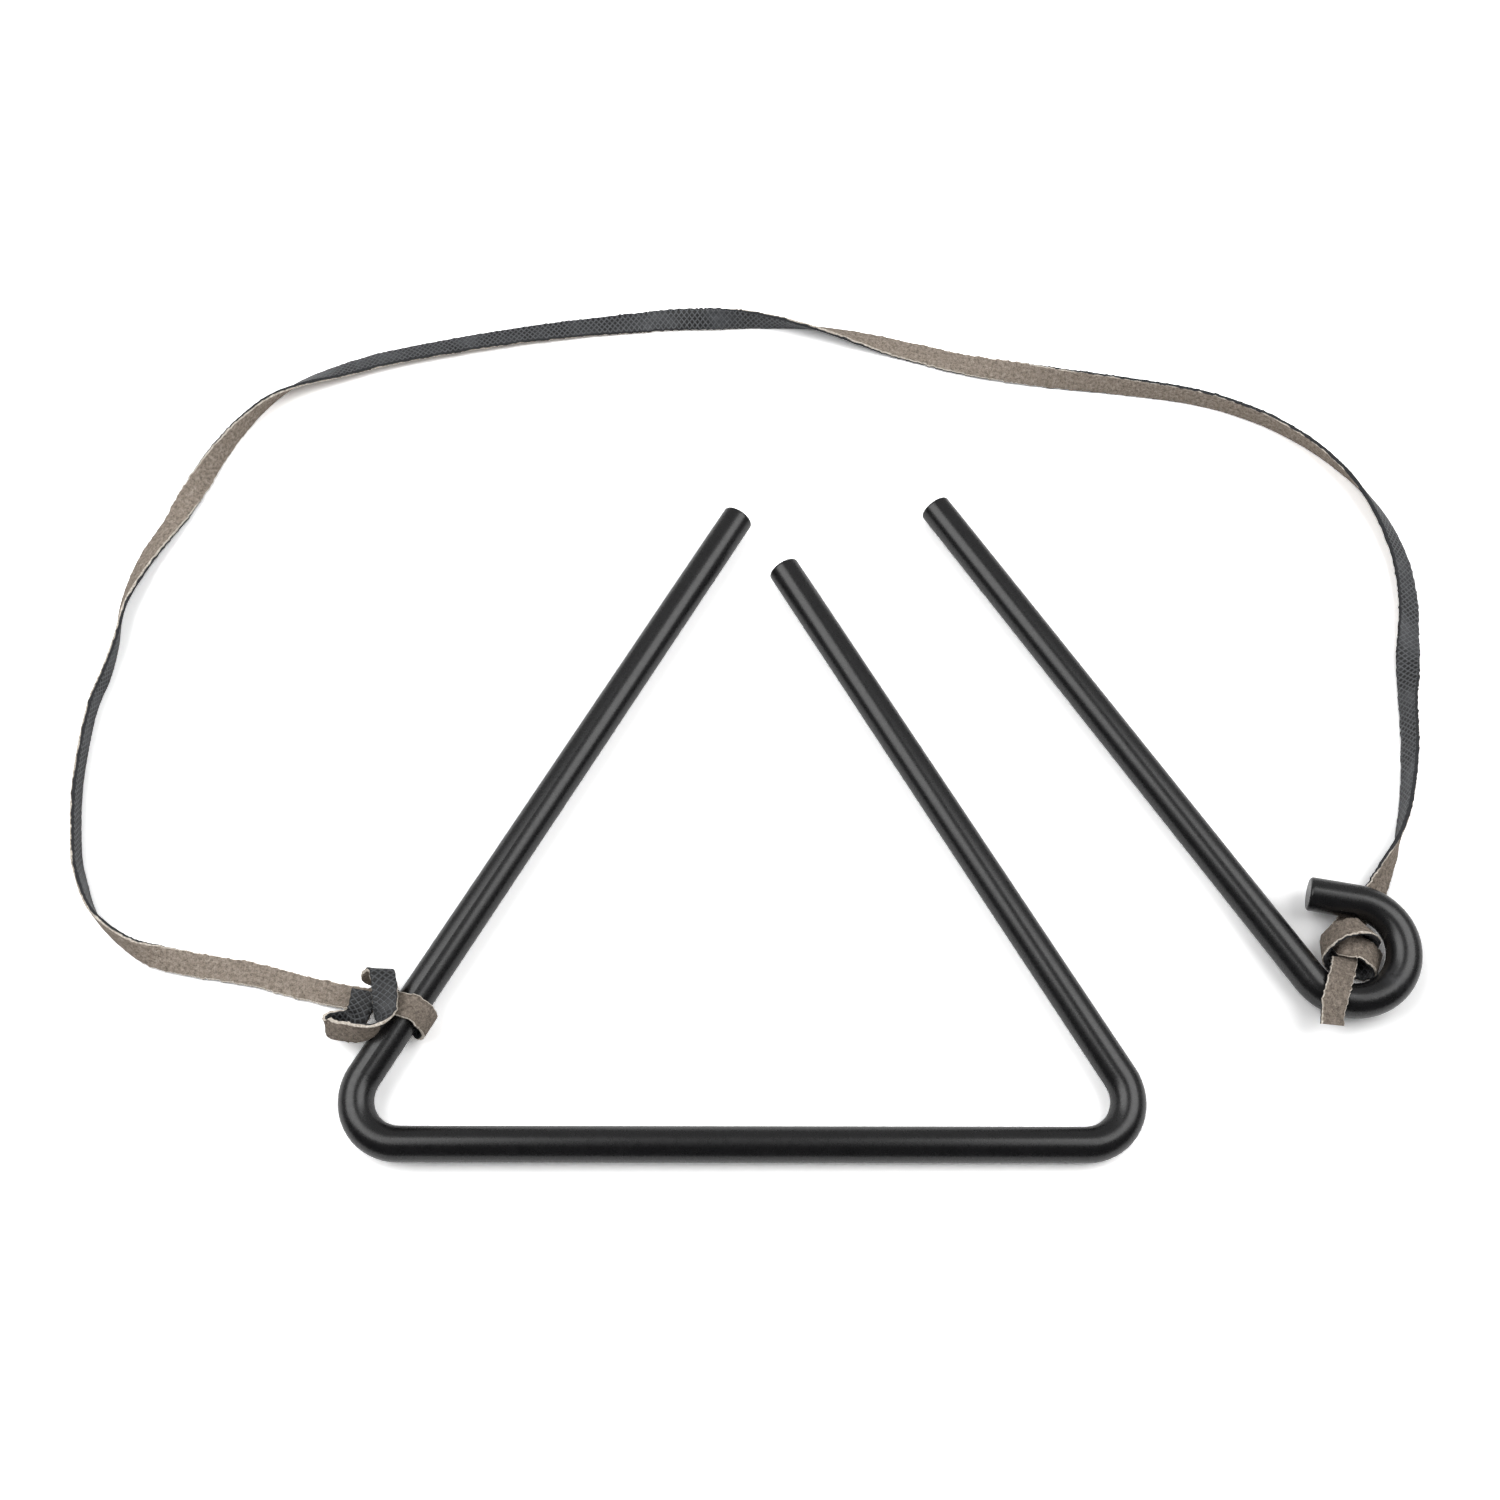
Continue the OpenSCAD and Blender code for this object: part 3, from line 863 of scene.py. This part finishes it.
cut_edge = bpy.data.materials.new("cut_edge")
tree, shader = fresh(cut_edge)
place = object_place(tree)
fleck = mottle(tree, place, scale=1600, detail=4)
depth = maths(tree, "ADD", lace_value(tree, "depth"), mottle(tree, place, scale=300, low=-0.2, high=0.2))
raw = ramp(tree, depth, DYED_TO, RAW_FROM, 0, 1)
cream = mix_colours(tree, fleck, RAW_SHADE, RAW_PALE)
wire(tree, mix_colours(tree, raw, DYED_EDGE, cream), shader.inputs["Base Color"])
dull(shader, roughness=0.9, shine=0.2)
bump(tree, shader, fleck, RAW_DEPTH)

tree, shader = fresh(loose_fibre)
strand = mix_colours(tree, mottle(tree, object_place(tree), scale=1600), FIBRE_SHADE, FIBRE_PALE)
wire(tree, strand, shader.inputs["Base Color"])
dull(shader, roughness=0.95, shine=0.15)

for piece in lace_pieces:
    for material in (grain_face, flesh_face, cut_edge):
        piece.data.materials.append(material)
print("leather faces:", grain_face.name, flesh_face.name, cut_edge.name)

# %% [markdown]
# The table is plain white and a true surface, so it keeps the shadows. Only rays from the camera, and
# those that mirror in a shiny surface, see it as a brighter white, and fully white far from the object,
# where the lamps don't reach. Round the striker's eye the camera sees it less bright, which makes the
# shadows there deeper: painted shade. The Light Path node tells these rays apart.

# %% White table
TABLE_HALF = 6
TABLE_DROP = 0.0002
TABLE_WHITE = (0.8, 0.8, 0.8)
MIRRORED_WHITE = (1, 1, 1)
# Round the eye the camera sees the table less bright, which deepens the shadows there: painted shade.
EYE_SHADE_FROM, EYE_SHADE_TO = 0.01, 0.045
SEEN_AT_EYE, SEEN_ELSEWHERE = 1.03, 1.7
GLOW_FROM, GLOW_TO = 0.3, 0.9
GLOW_NEAR, GLOW_FAR = 0.03, 1

table_corners = [(x * TABLE_HALF, y * TABLE_HALF, 0) for x, y in ((-1, -1), (1, -1), (1, 1), (-1, 1))]
floor_mesh = bpy.data.meshes.new("table_top")
floor_mesh.from_pydata(table_corners, [], [(0, 1, 2, 3)])
floor = bpy.data.objects.new("table_top", floor_mesh)
floor.location.z = -TABLE_DROP
scene.collection.objects.link(floor)
white_table = bpy.data.materials.new("white_table")
white_table.use_nodes = True
tree = white_table.node_tree
tree.nodes.clear()
path = tree.nodes.new("ShaderNodeLightPath")
direct = path.outputs["Is Camera Ray"]
mirrored = maths(tree, "MAXIMUM", path.outputs["Is Glossy Ray"], path.outputs["Is Transmission Ray"])
place = object_place(tree)
tone = mix_colours(tree, mirrored, TABLE_WHITE, MIRRORED_WHITE)
eye_point = (EYE_MIDDLE[0] * MM, EYE_MIDDLE[1] * MM, 0)
from_eye = away_from(tree, place, eye_point)
seen_with_eye_shade = ramp(tree, from_eye, EYE_SHADE_FROM, EYE_SHADE_TO, SEEN_AT_EYE, SEEN_ELSEWHERE)
paint = tree.nodes.new("ShaderNodeBsdfDiffuse")
wire(tree, mix_colours(tree, direct, tone, seen_with_eye_shade), paint.inputs["Color"])
far = ramp(tree, away_from(tree, place, (0, 0, 0)), GLOW_FROM, GLOW_TO, GLOW_NEAR, GLOW_FAR)
glow = tree.nodes.new("ShaderNodeEmission")
wire(tree, maths(tree, "MULTIPLY", direct, far), glow.inputs["Strength"])
both = tree.nodes.new("ShaderNodeAddShader")
wire(tree, paint.outputs[0], both.inputs[0])
wire(tree, glow.outputs[0], both.inputs[1])
wire(tree, both.outputs[0], tree.nodes.new("ShaderNodeOutputMaterial").inputs[0])
floor_mesh.materials.append(white_table)
print("table:", 2 * TABLE_HALF, "m wide")

# %% [markdown]
# The room is dim and darker towards the camera, so the bars turn black along their front. Only the camera
# itself sees it as plain white.

# %% Dim room
ROOM_FRONT, ROOM_BACK = 0.05, 0.4
FADE_FROM, FADE_TO = -0.5, 0.6

world = bpy.data.worlds.new("dim_room")
scene.world = world
world.use_nodes = True
tree = world.node_tree
way = tree.nodes.new("ShaderNodeSeparateXYZ")
wire(tree, tree.nodes.new("ShaderNodeTexCoord").outputs["Generated"], way.inputs[0])
fade = ramp(tree, way.outputs[1], FADE_FROM, FADE_TO, ROOM_FRONT, ROOM_BACK)
direct = tree.nodes.new("ShaderNodeLightPath").outputs["Is Camera Ray"]
wire(tree, maths(tree, "MAXIMUM", fade, direct), tree.nodes["Background"].inputs["Strength"])
tree.nodes["Background"].inputs["Color"].default_value = (1, 1, 1, 1)
print("room:", ROOM_FRONT, "to", ROOM_BACK)

# %% [markdown]
# The light is that of a small studio: a soft box on each side above the table, which draw the long shine
# on the legs and the shaft. A weaker box low in front lights the leather that stands on its edge; it is
# kept out of mirror reflections, so the bars stay dark there.

# %% Lamps
BOX_WATTS = 5.8
FILL_WATTS = 3
BOX_SIZE = (0.7, 0.8)
LEFT_AT = (-0.6, 0.1, 0.8)
RIGHT_AT = (0.56, 0.1, 0.84)
FRONT_AT = (0, -1.0, 0.35)


def soft_box(name, place, watts):
    """Rectangular lamp at a place, turned to the middle of the table."""
    lamp = bpy.data.lights.new(name, "AREA")
    lamp.shape = "RECTANGLE"
    lamp.size, lamp.size_y = BOX_SIZE
    lamp.energy = watts
    box = bpy.data.objects.new(name, lamp)
    box.location = place
    box.rotation_euler = (-Vector(place)).to_track_quat("-Z", "Y").to_euler()
    scene.collection.objects.link(box)
    return box


soft_box("left_box", LEFT_AT, BOX_WATTS)
soft_box("right_box", RIGHT_AT, BOX_WATTS)
fill = soft_box("front_fill", FRONT_AT, FILL_WATTS)
fill.visible_camera = False
fill.visible_glossy = False
scene.view_settings.view_transform = "Standard"
print("boxes:", BOX_WATTS, "W each, fill:", FILL_WATTS, "W")
